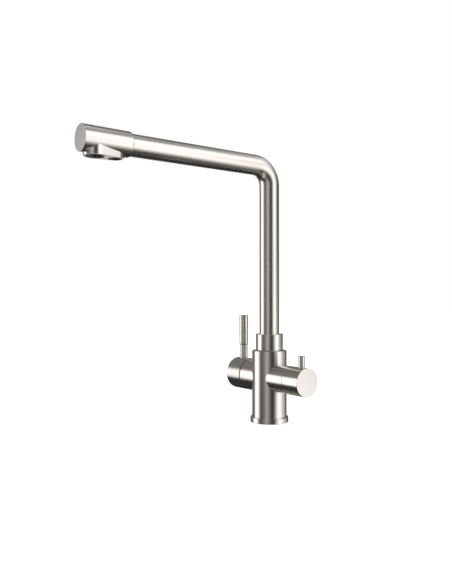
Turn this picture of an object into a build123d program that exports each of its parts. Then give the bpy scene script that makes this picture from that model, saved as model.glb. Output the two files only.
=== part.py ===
"""Three-way kitchen tap with a separate filtered-water outlet, as an assembly of its pieces.

Millimetres, +Z up. The origin is the centre of the base's underside, where it stands on the worktop.
The spout points along -Y, towards the user. The mixer valve is on -X, the filter valve on +X.
"""
from build123d import *
import os
from math import cos, radians, sin

# Fits between pieces
static_gap = 0.05
running_gap = 0.05
free_gap = 0.3
cut_overrun = 1.0
edge_break = 0.4

# Body casting
body_radius = 23.0
body_height = 94.0
body_rim_chamfer = 0.8
foot_step = 2.0
foot_height = 2.5

# Base ring and its seal
base_ring_overhang = 2.3
base_ring_height = 6.5
foot_seal_margin = 1.0
foot_seal_thickness = 1.5

# Threaded ports in the underside
port_thread_radius = 5.0
port_thread_depth = 12.0
supply_port_inset = 11.5
supply_port_setback = 5.0
filter_port_setback = 4.5
stud_thread_radius = 4.0
stud_thread_depth = 12.0
stud_x = 4.0
stud_inset = 6.5

# Waterways
supply_bore_radius = 2.75
filter_bore_radius = 2.5
filter_riser_radius = 2.0
mixed_riser_setback = 5.8

# Valve bosses, both on one cross axis below the body's top
valve_drop = 35.5
mixer_boss_end = 36.6
mixer_boss_wall = 2.9
filter_boss_radius = 18.1
filter_boss_end = 44.3
boss_edge = 0.3

# Mixer cartridge, from the floor of its cavity outwards
cartridge_radius = 17.5
cartridge_wall = 1.6
mixer_cavity_floor = 14.0
port_seal_stand = 1.0
cartridge_base_thickness = 4.0
cartridge_disc_inset = 3.5
moving_disc_inset = 2.0
cartridge_disc_thickness = 3.0
driver_thickness = 2.15
cartridge_roof_thickness = 2.5
cartridge_neck_radius = 9.5
cartridge_neck_length = 6.0
port_ring_radius = 9.5
supply_port_angle = 115.0
port_seal_width = 1.5
port_seal_recess = 0.6
peg_radius = 1.5
peg_length = 1.8
peg_inset = 4.5
peg_angle = 50.0
fan_hub_radius = 4.0
fan_depth = 1.5
cold_fan_angles = (25.0, 76.0)
hot_fan_angles = (150.0, 185.0)

# Mixer stem and nut
stem_radius = 6.5
stem_square = 8.5
stem_square_setback = 7.0
stem_square_length = 14.4
stem_seal_setback = 3.0
nut_thread_wall = 1.1
nut_hex_across_flats = 27.0
nut_hex_height = 4.5

# Mixer handle
mixer_seam = 1.8
mixer_cap_length = 28.1
mixer_cap_wall = 2.7
mixer_cap_end_wall = 4.0
mixer_hub_radius = 9.0
hub_gap = 2.0
slip_ring_sink = 0.35
slip_ring_wall = 1.6
slip_ring_lip = 2.5
mixer_lever_inset = 11.5
lever_boss_radius = 4.6
lever_rod_radius = 5.5
lever_step_rise = 40.0
lever_top_rise = 80.5
lever_grip_radius = 6.0
lever_core_radius = 3.5
lever_grip_roof = 8.0
lever_stud_radius = 3.0
lever_stud_length = 10.0
lever_seat_depth = 0.8
seam_ring_thickness = 0.8
mixer_screw_radius = 2.5
mixer_screw_length = 9.0
mixer_plug_radius = 3.5
plug_thickness = 2.8
plug_sink = 0.2

# Filter valve, from the floor of its cavity outwards
filter_cavity_floor = 17.0
filter_cavity_radius = 10.4
seat_washer_thickness = 1.4
seat_washer_inner_radius = 4.0
valve_foot_stand = 0.9
valve_wall = 2.25
filter_disc_thickness = 2.6
filter_port_ring_radius = 4.4
filter_disc_port_radius = 2.2
notch_radius = 3.0
spindle_plate_inset = 0.7
spindle_plate_thickness = 2.4
window_height = 8.0
window_setback = 4.2
window_length = 4.2
waist_wall = 1.1
waist_setback = 3.0
waist_length = 7.0
valve_hex_across_flats = 24.0
valve_hex_height = 4.0
valve_neck_radius = 7.2
valve_neck_length = 8.7
spindle_radius = 4.95
spindle_shaft_length = 3.0
spline_length = 10.0
spline_radius = 3.9
spline_tooth = 0.3
spline_teeth = 20
spindle_seal_setbacks = (5.3, 10.3)
circlip_radius = 6.2
circlip_thickness = 1.0
circlip_groove_radius = 4.3
circlip_gap_width = 3.0

# Filter handle
filter_seam = 0.4
filter_cap_length = 27.8
filter_cap_wall = 2.55
filter_cap_end_wall = 3.5
filter_hub_radius = 7.5
filter_hub_gap = 0.2
filter_pin_inset = 10.5
filter_pin_radius = 4.3
filter_pin_top_rise = 32.5
filter_boss_post_radius = 3.8
filter_stud_radius = 2.0
filter_stud_length = 8.0
pin_seat_depth = 0.6
filter_screw_radius = 2.0
filter_screw_length = 7.5
filter_plug_radius = 2.8

# Round seals, by their section radius
stem_seal_radius = 0.8
spindle_seal_radius = 0.7
swivel_seal_radius = 0.9
hose_seal_radius = 0.7
seal_groove_slack = 0.2

# Spout swivel, down from the body's top
socket_depth = 15.0
spigot_radius = 11.0
spigot_bore_radius = 7.2
spigot_end_gap = 1.0
spigot_flange_thickness = 3.0
swivel_seal_drops = (3.0, 11.6)
retainer_drop = 7.3
retainer_groove_width = 3.4
retainer_groove_depth = 2.0
retainer_screw_radius = 2.5
retainer_tip_radius = 1.4
retainer_tip_length = 1.9
retainer_screw_sink = 1.3
hex_key = 2.5
hex_key_depth = 2.5
small_hex_key = 2.0

# Spout collar
collar_wall = 5.0
collar_height = 21.5
collar_floor_rise = 6.0
washer_inset = 1.5
washer_bore_gap = 1.0
washer_thickness = 0.85

# Spout tube
tube_radius = 13.0
tube_wall = 1.2
arm_height = 337.0
bend_radius = 25.5

# Spout head
head_tip_wall = 2.2
head_rear_wall = 1.85
head_bore_gap = 0.4
head_rear_lip = 0.2
head_tip_margin = 4.3
tube_insertion = 7.2
end_cap_thickness = 1.2
end_cap_plug_depth = 2.0

# Outlet block
main_outlet_reach = 249.0
outlet_spacing = 23.5
block_protrusion = 2.8
block_top_drop = 6.0
main_outlet_radius = 10.6
main_block_wall = 2.6
main_shoulder = 2.6
main_collar_wall = 0.9
main_collar_height = 2.0
filter_outlet_radius = 7.9
filter_block_wall = 1.8
filter_chamber_height = 8.5
filter_post_radius = 6.5
filter_post_rise = 6.0
block_channel_radius = 2.5
block_edge = 0.4

# Outlet inserts
insert_sink = 2.0
insert_wall = 1.2
insert_lip = 0.6
insert_lip_height = 1.2
washer_height = 1.5
washer_width = 2.2
insert_hole_radius = 0.85
insert_hole_pitch = 2.25
main_insert_height = 5.8
filter_insert_height = 3.0
insert_ring_counts = (1, 6, 12, 18)

# Filtered-water hose inside the spout
hose_radius = 4.0
hose_bore_radius = 2.5
nipple_bore_radius = 1.75
nipple_thread_radius = 4.0
nipple_thread_length = 5.8
nipple_hex_across_flats = 9.0
nipple_hex_height = 2.0
nipple_shank_radius = 3.0
nipple_shank_length = 11.0
riser_drop = 7.5
swivel_sleeve_radius = 5.4
swivel_sleeve_gap = 0.4
swivel_sleeve_floor_gap = 0.6
swivel_sleeve_roof = 2.0
barb_length = 8.0
hose_seal_rise = 5.0
head_nipple_thread_radius = 3.5
head_nipple_thread_length = 3.4
head_nipple_flange_radius = 4.5
head_nipple_flange_thickness = 2.5
ferrule_wall = 0.6
ferrule_length = 5.5
ferrule_setback = 1.2

# Body, base and ports
valve_axis_z = body_height - valve_drop
foot_radius = body_radius - foot_step
base_ring_radius = body_radius + base_ring_overhang
foot_seal_inner_radius = foot_radius + foot_seal_margin
foot_seal_outer_radius = base_ring_radius - foot_seal_margin
supply_port_x = supply_port_setback - mixer_cavity_floor
supply_port_y = foot_radius - supply_port_inset
filter_port_x = filter_cavity_floor - filter_port_setback
stud_y = foot_radius - stud_inset
mixed_riser_x = mixed_riser_setback - mixer_cavity_floor

# Places along the mixer valve
mixer_cavity_radius = cartridge_radius + static_gap
cartridge_base_start = mixer_cavity_floor + port_seal_stand
disc_start = cartridge_base_start + cartridge_base_thickness
moving_disc_start = disc_start + cartridge_disc_thickness + running_gap
driver_start = moving_disc_start + cartridge_disc_thickness
roof_start = driver_start + driver_thickness + running_gap
roof_end = roof_start + cartridge_roof_thickness
cartridge_neck_end = mixer_boss_end + cartridge_neck_length
cartridge_disc_radius = cartridge_radius - cartridge_disc_inset
moving_disc_radius = cartridge_disc_radius - moving_disc_inset
peg_ring_radius = cartridge_radius - peg_inset
stem_shaft_end = mixer_boss_end + stem_square_setback
stem_end = stem_shaft_end + stem_square_length
stem_seal_start = mixer_boss_end - stem_seal_setback
nut_thread_radius = cartridge_radius + nut_thread_wall
mixer_boss_radius = nut_thread_radius + mixer_boss_wall
mixer_cap_start = mixer_boss_end + mixer_seam
mixer_cap_end = mixer_cap_start + mixer_cap_length
mixer_hub_start = cartridge_neck_end + hub_gap
mixer_lever_x = mixer_cap_end - mixer_lever_inset
lever_seat_z = valve_axis_z + mixer_boss_radius - lever_seat_depth
lever_step_z = valve_axis_z + lever_step_rise
lever_top_z = valve_axis_z + lever_top_rise
lever_core_end_z = lever_top_z - lever_grip_roof

# Places along the filter valve
valve_foot_start = filter_cavity_floor + valve_foot_stand
filter_chamber_radius = filter_cavity_radius - static_gap - valve_wall
filter_disc_start = filter_cavity_floor + seat_washer_thickness
filter_moving_start = filter_disc_start + filter_disc_thickness + running_gap
spindle_start = filter_moving_start + filter_disc_thickness
spindle_plate_radius = filter_chamber_radius - spindle_plate_inset
chamber_end = spindle_start + spindle_plate_thickness + running_gap
window_start = filter_cavity_floor + window_setback
window_end = window_start + window_length
waist_radius = filter_chamber_radius + waist_wall
waist_start = filter_cavity_floor + waist_setback
waist_end = waist_start + waist_length
valve_hex_end = filter_boss_end + valve_hex_height
valve_neck_end = filter_boss_end + valve_neck_length
spindle_bore_radius = spindle_radius + running_gap
spindle_shaft_end = valve_neck_end + spindle_shaft_length
spindle_end = spindle_shaft_end + spline_length
filter_cap_start = filter_boss_end + filter_seam
filter_cap_end = filter_cap_start + filter_cap_length
filter_hub_start = spindle_shaft_end + filter_hub_gap
filter_pin_x = filter_cap_end - filter_pin_inset
pin_seat_z = valve_axis_z + filter_boss_radius - pin_seat_depth
filter_pin_top_z = valve_axis_z + filter_pin_top_rise

# Places round the swivel
socket_floor_z = body_height - socket_depth
spigot_start_z = socket_floor_z + spigot_end_gap
retainer_z = body_height - retainer_drop
collar_radius = tube_radius + collar_wall
collar_bottom_z = body_height + free_gap
collar_top_z = body_height + collar_height
collar_floor_z = body_height + collar_floor_rise
flange_top_z = collar_floor_z + spigot_flange_thickness
washer_inner_radius = spigot_radius + washer_bore_gap
washer_outer_radius = collar_radius - washer_inset

# Places along the arm
main_block_radius = main_outlet_radius + main_block_wall
filter_block_radius = filter_outlet_radius + filter_block_wall
filter_outlet_reach = main_outlet_reach - outlet_spacing
spout_reach = main_outlet_reach + main_block_radius + head_tip_margin
tube_end_reach = filter_outlet_reach - filter_block_radius - free_gap
head_rear_reach = tube_end_reach - tube_insertion
head_tip_radius = tube_radius + head_tip_wall
head_rear_radius = tube_radius + head_rear_wall
head_bore_radius = tube_radius + head_bore_gap
block_bottom_z = arm_height - head_tip_radius - block_protrusion
block_top_z = arm_height - block_top_drop
main_inlet_radius = main_outlet_radius - main_shoulder
main_collar_radius = main_outlet_radius + main_collar_wall
filter_post_top_z = arm_height + filter_post_rise
filter_roof_z = block_bottom_z + filter_chamber_height
insert_bottom_z = block_bottom_z + insert_sink

# Places along the hose
nipple_bottom_z = socket_floor_z - nipple_thread_length
nipple_hex_top_z = socket_floor_z + nipple_hex_height
nipple_top_z = nipple_hex_top_z + nipple_shank_length
riser_z = socket_floor_z - riser_drop
swivel_sleeve_start_z = nipple_hex_top_z + swivel_sleeve_gap
swivel_sleeve_floor_z = nipple_top_z + swivel_sleeve_floor_gap
hose_start_z = swivel_sleeve_floor_z + swivel_sleeve_roof
hose_seal_z = nipple_hex_top_z + hose_seal_rise
post_rear_reach = filter_outlet_reach - filter_post_radius
hose_end_reach = post_rear_reach - head_nipple_flange_thickness

# Working planes: X runs along the axis of what is turned, Y points up or outwards
upright = Plane(origin=(0, 0, 0), x_dir=(0, 0, 1), z_dir=(0, 1, 0))
mixer_axis = Plane(origin=(0, 0, valve_axis_z), x_dir=(-1, 0, 0), z_dir=(0, 1, 0))
filter_axis = Plane(origin=(0, 0, valve_axis_z), x_dir=(1, 0, 0), z_dir=(0, -1, 0))
arm_axis = Plane(origin=(0, 0, arm_height), x_dir=(0, -1, 0), z_dir=(-1, 0, 0))
rear_axis = Plane(origin=(0, 0, retainer_z), x_dir=(0, 1, 0), z_dir=(1, 0, 0))


def beside(plane, up=0, across=0):
    """The same axis, moved sideways."""
    return Plane(plane.location * Location((0, up, across)))


def upright_at(x, y):
    """An upright axis that stands at a place on the worktop."""
    return Plane(origin=(x, y, 0), x_dir=(0, 0, 1), z_dir=(0, 1, 0))


def turned(plane, outline):
    """A solid of revolution from a closed outline of (along, radius) points."""
    face = plane * make_face(Polyline(*outline, close=True))
    return revolve(face, Axis(plane.origin, plane.x_dir))


def rod(plane, radius, start, end, start_edge=0, end_edge=0):
    """A round bar with its two rims chamfered."""
    outline = [(start, 0), (start, radius - start_edge)]
    if start_edge:
        outline.append((start + start_edge, radius))
    outline.append((end - end_edge, radius))
    if end_edge:
        outline.append((end, radius - end_edge))
    outline.append((end, 0))
    return turned(plane, outline)


def ring(plane, outer, inner, start, end):
    """A plain round tube."""
    return turned(plane, [(start, inner), (end, inner), (end, outer), (start, outer)])


def round_seal(plane, centre_radius, section_radius, along):
    """An O-ring round the plane's axis."""
    section = plane * Pos(along, centre_radius) * Circle(section_radius)
    return revolve(section, Axis(plane.origin, plane.x_dir))


def seal_groove(plane, outer, floor, along, section_radius):
    """The groove that an O-ring lies in, to be cut from a shaft or a bore."""
    half_width = section_radius + seal_groove_slack
    return ring(plane, max(outer, floor), min(outer, floor), along - half_width, along + half_width)


def prism(plane, sketch, start, end):
    """A straight bar of any section along the plane's axis."""
    origin = plane.origin + plane.x_dir * start
    return extrude(Plane(origin=origin, x_dir=plane.y_dir, z_dir=plane.x_dir) * sketch, end - start)


def hexagon(across_flats):
    return RegularPolygon(across_flats / 2, 6, major_radius=False)


def polar(radius, angle):
    """A place on a circle round a valve's axis, from straight up towards the user."""
    return (radius * cos(radians(angle)), radius * sin(radians(angle)))


def save(name, shape):
    export_step(shape, f"parts/{name}.step")


def drop_outline(extra=0):
    """The outlet block seen from below: two circles joined by their tangents."""
    main = Pos(0, -main_outlet_reach) * Circle(main_block_radius + extra)
    small = Pos(0, -filter_outlet_reach) * Circle(filter_block_radius + extra)
    return make_hull([main.edge(), small.edge()])


def make_tap_body():
    """The casting: column, two valve bosses, cavities, ports and waterways."""
    column = rod(upright, body_radius, foot_height, body_height, 0, body_rim_chamfer)
    foot = rod(upright, foot_radius, 0, foot_height)
    mixer_boss = rod(mixer_axis, mixer_boss_radius, 0, mixer_boss_end, 0, boss_edge)
    filter_boss = rod(filter_axis, filter_boss_radius, 0, filter_boss_end, 0, boss_edge)
    body = column + foot + mixer_boss + filter_boss

    # The spout's socket, and the retaining screw's hole in the rear
    socket_radius = spigot_radius + running_gap
    body -= rod(upright, socket_radius, socket_floor_z, body_height + cut_overrun)
    body -= rod(rear_axis, retainer_screw_radius + static_gap, 0, body_radius + cut_overrun)

    # The mixer cavity, its thread for the nut and the cartridge's peg holes
    nut_bore = nut_thread_radius + static_gap
    body -= rod(mixer_axis, mixer_cavity_radius, mixer_cavity_floor, roof_end)
    body -= rod(mixer_axis, nut_bore, roof_end, mixer_boss_end + cut_overrun)
    for side in (-1, 1):
        up, across = polar(peg_ring_radius, side * peg_angle)
        hole = beside(mixer_axis, up, across)
        peg_hole_floor = cartridge_base_start - peg_length - free_gap
        body -= rod(hole, peg_radius + static_gap, peg_hole_floor, mixer_cavity_floor)

    # Hot and cold: a threaded port, a riser and a short bore to the cartridge
    for side in (-1, 1):
        up, across = polar(port_ring_radius, side * supply_port_angle)
        riser = upright_at(supply_port_x, side * supply_port_y)
        body -= rod(riser, port_thread_radius, 0, port_thread_depth)
        body -= rod(riser, supply_bore_radius, 0, valve_axis_z + up)
        body -= rod(beside(mixer_axis, up, across), supply_bore_radius, -supply_port_x, mixer_cavity_floor)

    # Mixed water leaves the middle of the cartridge and rises into the socket
    body -= rod(mixer_axis, supply_bore_radius, -mixed_riser_x, mixer_cavity_floor)
    body -= rod(upright_at(mixed_riser_x, 0), supply_bore_radius, valve_axis_z, socket_floor_z)

    # Filtered water: port, riser, valve seat, and a way from the valve's waist to the nipple
    riser = upright_at(filter_port_x, 0)
    waist_middle = (waist_start + waist_end) / 2
    body -= rod(riser, port_thread_radius, 0, port_thread_depth)
    body -= rod(riser, filter_bore_radius, 0, valve_axis_z)
    body -= rod(filter_axis, filter_bore_radius, filter_port_x, filter_cavity_floor)
    body -= rod(filter_axis, filter_cavity_radius, filter_cavity_floor, filter_boss_end + cut_overrun)
    body -= rod(beside(filter_axis, riser_z - valve_axis_z), filter_riser_radius, 0, waist_middle)
    body -= rod(upright_at(waist_middle, 0), filter_riser_radius, valve_axis_z, riser_z)
    body -= rod(upright, nipple_thread_radius + static_gap, riser_z, socket_floor_z)

    # Threads for the two fixing studs
    for side in (-1, 1):
        body -= rod(upright_at(stud_x, side * stud_y), stud_thread_radius, 0, stud_thread_depth)
    return body


def make_base():
    """The base ring, which hugs the foot, and the seal in its underside."""
    grip = body_radius + static_gap
    foot_grip = foot_radius + static_gap
    outer = base_ring_radius
    outline = [
        (0, foot_grip), (foot_height, foot_grip), (foot_height, grip), (base_ring_height, grip),
        (base_ring_height, outer - edge_break), (base_ring_height - edge_break, outer),
        (edge_break, outer), (0, outer - edge_break),
    ]
    groove_inner = foot_seal_inner_radius - static_gap
    groove_outer = foot_seal_outer_radius + static_gap
    base_ring = turned(upright, outline)
    base_ring -= ring(upright, groove_outer, groove_inner, 0, foot_seal_thickness)
    save("base_ring", base_ring)
    seal = ring(upright, foot_seal_outer_radius, foot_seal_inner_radius, 0, foot_seal_thickness)
    save("foot_seal", seal)


def make_mixer_cartridge():
    """The fixed half of the ceramic cartridge, with the nut that holds it in its cavity."""
    inner = cartridge_radius - cartridge_wall
    stem_bore = stem_radius + running_gap
    outline = [
        (cartridge_base_start, inner), (roof_start, inner), (roof_start, stem_bore),
        (cartridge_neck_end, stem_bore), (cartridge_neck_end, cartridge_neck_radius - edge_break),
        (cartridge_neck_end - edge_break, cartridge_neck_radius), (roof_end, cartridge_neck_radius),
        (roof_end, cartridge_radius), (cartridge_base_start, cartridge_radius),
    ]
    save("mixer_cartridge_housing", turned(mixer_axis, outline))

    base = rod(mixer_axis, inner - static_gap, cartridge_base_start, disc_start)
    disc_end = disc_start + cartridge_disc_thickness
    fixed_disc = rod(mixer_axis, cartridge_disc_radius, disc_start, disc_end)
    seal_outer = supply_bore_radius + port_seal_width
    seal_end = cartridge_base_start + port_seal_recess
    places = [(0, 0)]
    places += [polar(port_ring_radius, side * supply_port_angle) for side in (-1, 1)]
    seals = []
    for up, across in places:
        port = beside(mixer_axis, up, across)
        base -= rod(port, supply_bore_radius, cartridge_base_start, disc_start)
        base -= rod(port, seal_outer + static_gap, cartridge_base_start, seal_end)
        fixed_disc -= rod(port, supply_bore_radius, disc_start, disc_end)
        seals.append(ring(port, seal_outer, supply_bore_radius, mixer_cavity_floor, seal_end))
    for side in (-1, 1):
        peg = beside(mixer_axis, *polar(peg_ring_radius, side * peg_angle))
        base += rod(peg, peg_radius, cartridge_base_start - peg_length, cartridge_base_start)
    save("mixer_cartridge_base", base)
    save("mixer_fixed_disc", fixed_disc)
    save("cartridge_port_seals", Compound(children=seals))

    hex_end = mixer_boss_end + nut_hex_height
    nut = rod(mixer_axis, nut_thread_radius, roof_end, mixer_boss_end)
    nut += prism(mixer_axis, hexagon(nut_hex_across_flats), mixer_boss_end, hex_end)
    nut -= rod(mixer_axis, cartridge_neck_radius + static_gap, roof_end, hex_end)
    save("cartridge_nut", nut)


def fan(angles):
    """A fan-shaped recess that joins the middle port to a stretch of the port ring."""
    hub = Circle(fan_hub_radius)
    tips = [Pos(*polar(port_ring_radius, angle)) * Circle(supply_bore_radius) for angle in angles]
    return make_hull([hub.edge()] + [tip.edge() for tip in tips])


def make_mixer_stem():
    """The turning half of the cartridge: moving disc, stem and stem seal."""
    disc_end = moving_disc_start + cartridge_disc_thickness
    moving_disc = rod(mixer_axis, moving_disc_radius, moving_disc_start, disc_end)
    for angles in (cold_fan_angles, hot_fan_angles):
        moving_disc -= prism(mixer_axis, fan(angles), moving_disc_start, moving_disc_start + fan_depth)
    save("mixer_moving_disc", moving_disc)

    stem = rod(mixer_axis, moving_disc_radius, driver_start, driver_start + driver_thickness)
    stem += rod(mixer_axis, stem_radius, driver_start, stem_shaft_end)
    stem += prism(mixer_axis, Rectangle(stem_square, stem_square), stem_shaft_end, stem_end)
    floor = stem_radius - 2 * stem_seal_radius
    stem -= seal_groove(mixer_axis, stem_radius + cut_overrun, floor, stem_seal_start, stem_seal_radius)
    save("mixer_stem", stem)
    seal = round_seal(mixer_axis, stem_radius - stem_seal_radius, stem_seal_radius, stem_seal_start)
    save("mixer_stem_o_ring", seal)


def make_handle_cap(plane, radius, start, end, wall, end_wall, hub_radius, hub_start, post_radius, post_at):
    """A hollow turning cap with a hub inside, and posts for its lever above and its screw below."""
    cap = rod(plane, radius, start, end, boss_edge, edge_break)
    cap -= rod(plane, radius - wall, start, end - end_wall)
    hub = rod(plane, hub_radius, hub_start, end - end_wall)
    post_reach = radius - wall / 2
    post = Plane(origin=plane.origin + plane.x_dir * post_at, x_dir=(0, 0, 1), z_dir=(0, 1, 0))
    return cap + hub + rod(post, post_radius, -post_reach, post_reach)


def grub_screw(plane, radius, start, end, key, key_depth):
    """A headless screw with a hexagon socket in its far end."""
    screw = rod(plane, radius, start, end, edge_break, 0)
    return screw - prism(plane, hexagon(key), end - key_depth, end)


def make_mixer_handle():
    """The large cap with its slip ring, its lever in two thicknesses, and the screw under its plug."""
    cap = make_handle_cap(
        mixer_axis, mixer_boss_radius, mixer_cap_start, mixer_cap_end, mixer_cap_wall,
        mixer_cap_end_wall, mixer_hub_radius, mixer_hub_start, lever_boss_radius, mixer_lever_x)
    square_hole = stem_square + 2 * static_gap
    hole_end = stem_end + free_gap
    lever = upright_at(-mixer_lever_x, 0)
    below = Plane(origin=(-mixer_lever_x, 0, valve_axis_z), x_dir=(0, 0, -1), z_dir=(0, 1, 0))
    stud_bottom_z = lever_seat_z - lever_stud_length
    cap_top_z = valve_axis_z + mixer_boss_radius
    plug_outer = mixer_boss_radius - plug_sink
    plug_inner = plug_outer - plug_thickness
    cap -= prism(mixer_axis, Rectangle(square_hole, square_hole), mixer_hub_start, hole_end)
    cap -= rod(lever, lever_rod_radius + static_gap, lever_seat_z, cap_top_z + cut_overrun)
    cap -= rod(lever, lever_stud_radius + static_gap, stud_bottom_z - free_gap, lever_seat_z)
    cap -= rod(below, mixer_screw_radius + static_gap, 0, mixer_boss_radius)
    cap -= rod(below, mixer_plug_radius + static_gap, plug_inner, mixer_boss_radius + cut_overrun)
    save("mixer_handle_cap", cap)

    # The dark ring in the seam, whose lip centres the cap's open end
    lip_outer = mixer_boss_radius - mixer_cap_wall - running_gap
    lip_inner = lip_outer - slip_ring_wall
    flange_outer = mixer_boss_radius - slip_ring_sink
    flange_end = mixer_cap_start - running_gap
    slip_ring = ring(mixer_axis, flange_outer, lip_inner, mixer_boss_end, flange_end)
    slip_ring += ring(mixer_axis, lip_outer, lip_inner, flange_end, flange_end + slip_ring_lip)
    save("mixer_slip_ring", slip_ring)

    seam_bottom_z = lever_step_z - seam_ring_thickness / 2
    seam_top_z = lever_step_z + seam_ring_thickness / 2
    rod_piece = rod(lever, lever_stud_radius, stud_bottom_z, lever_seat_z, edge_break, 0)
    rod_piece += rod(lever, lever_rod_radius, lever_seat_z, seam_bottom_z)
    rod_piece += rod(lever, lever_core_radius, seam_bottom_z, lever_core_end_z)
    save("mixer_lever_rod", rod_piece)
    core_hole = lever_core_radius + static_gap
    save("lever_seam_ring", ring(lever, lever_rod_radius, core_hole, seam_bottom_z, seam_top_z))
    grip = rod(lever, lever_grip_radius, seam_top_z, lever_top_z, edge_break, edge_break)
    grip -= rod(lever, core_hole, seam_top_z, lever_core_end_z)
    save("mixer_lever_grip", grip)

    screw_start = stem_square / 2 + static_gap
    screw_end = screw_start + mixer_screw_length
    screw = grub_screw(below, mixer_screw_radius, screw_start, screw_end, hex_key, hex_key_depth)
    save("mixer_grub_screw", screw)
    save("mixer_screw_plug", rod(below, mixer_plug_radius, plug_inner, plug_outer, 0, edge_break))


def spline(extra=0):
    """A toothed round section for the spindle's end and the hole that it fits."""
    points = []
    for tooth in range(2 * spline_teeth):
        radius = spline_radius + extra - spline_tooth * (tooth % 2)
        points.append(polar(radius, tooth * 180 / spline_teeth))
    return make_face(Polyline(*points, close=True))


def make_filter_valve():
    """The fixed half of the quarter-turn valve: seat washer, fixed disc and valve body."""
    washer = ring(filter_axis, filter_chamber_radius - static_gap, seat_washer_inner_radius,
                  filter_cavity_floor, filter_disc_start)
    save("filter_seat_washer", washer)
    disc_end = filter_disc_start + filter_disc_thickness
    disc = rod(filter_axis, filter_chamber_radius - static_gap, filter_disc_start, disc_end)
    for side in (-1, 1):
        port = beside(filter_axis, side * filter_port_ring_radius)
        disc -= rod(port, filter_disc_port_radius, filter_disc_start, disc_end)
    save("filter_fixed_disc", disc)

    outer = filter_cavity_radius - static_gap
    valve = rod(filter_axis, outer, valve_foot_start, filter_boss_end)
    valve += prism(filter_axis, hexagon(valve_hex_across_flats), filter_boss_end, valve_hex_end)
    valve += rod(filter_axis, valve_neck_radius, valve_hex_end, valve_neck_end, 0, edge_break)
    valve -= ring(filter_axis, outer + cut_overrun, waist_radius, waist_start, waist_end)
    valve -= rod(filter_axis, filter_chamber_radius, valve_foot_start, chamber_end)
    valve -= rod(filter_axis, spindle_bore_radius, chamber_end, valve_neck_end)
    window = Rectangle(2 * filter_cavity_radius, window_height)
    valve -= prism(filter_axis, window, window_start, window_end)
    save("filter_valve_body", valve)


def make_filter_spindle():
    """The turning half of the quarter-turn valve."""
    moving_disc = rod(filter_axis, spindle_plate_radius, filter_moving_start, spindle_start)
    for side in (-1, 1):
        notch = beside(filter_axis, 0, side * spindle_plate_radius)
        moving_disc -= rod(notch, notch_radius, filter_moving_start, spindle_start)
    save("filter_moving_disc", moving_disc)

    spindle = rod(filter_axis, spindle_plate_radius, spindle_start, spindle_start + spindle_plate_thickness)
    spindle += rod(filter_axis, spindle_radius, spindle_start, spindle_shaft_end)
    spindle += prism(filter_axis, spline(), spindle_shaft_end, spindle_end)
    floor = spindle_radius - 2 * spindle_seal_radius
    seals = []
    for setback in spindle_seal_setbacks:
        along = filter_boss_end - setback
        spindle -= seal_groove(filter_axis, spindle_radius + cut_overrun, floor, along, spindle_seal_radius)
        centre = spindle_radius - spindle_seal_radius
        seals.append(round_seal(filter_axis, centre, spindle_seal_radius, along))
    save("filter_spindle_o_rings", Compound(children=seals))

    clip_start = valve_neck_end + running_gap
    clip_end = clip_start + circlip_thickness
    groove_outer = spindle_radius + cut_overrun
    spindle -= ring(filter_axis, groove_outer, circlip_groove_radius, clip_start, clip_end)
    save("filter_spindle", spindle)
    clip = ring(filter_axis, circlip_radius, circlip_groove_radius + static_gap, clip_start, clip_end)
    gap = Pos(-circlip_radius, 0) * Rectangle(2 * circlip_radius, circlip_gap_width)
    save("spindle_circlip", clip - prism(filter_axis, gap, clip_start, clip_end))


def make_filter_handle():
    """The small cap with its pin, and the screw under its plug."""
    cap = make_handle_cap(
        filter_axis, filter_boss_radius, filter_cap_start, filter_cap_end, filter_cap_wall,
        filter_cap_end_wall, filter_hub_radius, filter_hub_start, filter_boss_post_radius, filter_pin_x)
    pin_axis = upright_at(filter_pin_x, 0)
    below = Plane(origin=(filter_pin_x, 0, valve_axis_z), x_dir=(0, 0, -1), z_dir=(0, 1, 0))
    stud_bottom_z = pin_seat_z - filter_stud_length
    cap_top_z = valve_axis_z + filter_boss_radius
    plug_outer = filter_boss_radius - plug_sink
    plug_inner = plug_outer - plug_thickness
    cap -= prism(filter_axis, spline(static_gap), filter_hub_start, spindle_end + free_gap)
    cap -= rod(pin_axis, filter_pin_radius + static_gap, pin_seat_z, cap_top_z + cut_overrun)
    cap -= rod(pin_axis, filter_stud_radius + static_gap, stud_bottom_z - free_gap, pin_seat_z)
    cap -= rod(below, filter_screw_radius + static_gap, 0, filter_boss_radius)
    cap -= rod(below, filter_plug_radius + static_gap, plug_inner, filter_boss_radius + cut_overrun)
    save("filter_handle_cap", cap)

    pin = rod(pin_axis, filter_stud_radius, stud_bottom_z, pin_seat_z, edge_break, 0)
    pin += rod(pin_axis, filter_pin_radius, pin_seat_z, filter_pin_top_z, 0, edge_break)
    save("filter_lever_pin", pin)

    screw_start = spline_radius + static_gap
    screw_end = screw_start + filter_screw_length
    screw = grub_screw(below, filter_screw_radius, screw_start, screw_end, small_hex_key, hex_key_depth)
    save("filter_grub_screw", screw)
    save("filter_screw_plug", rod(below, filter_plug_radius, plug_inner, plug_outer, 0, edge_break))


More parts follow.
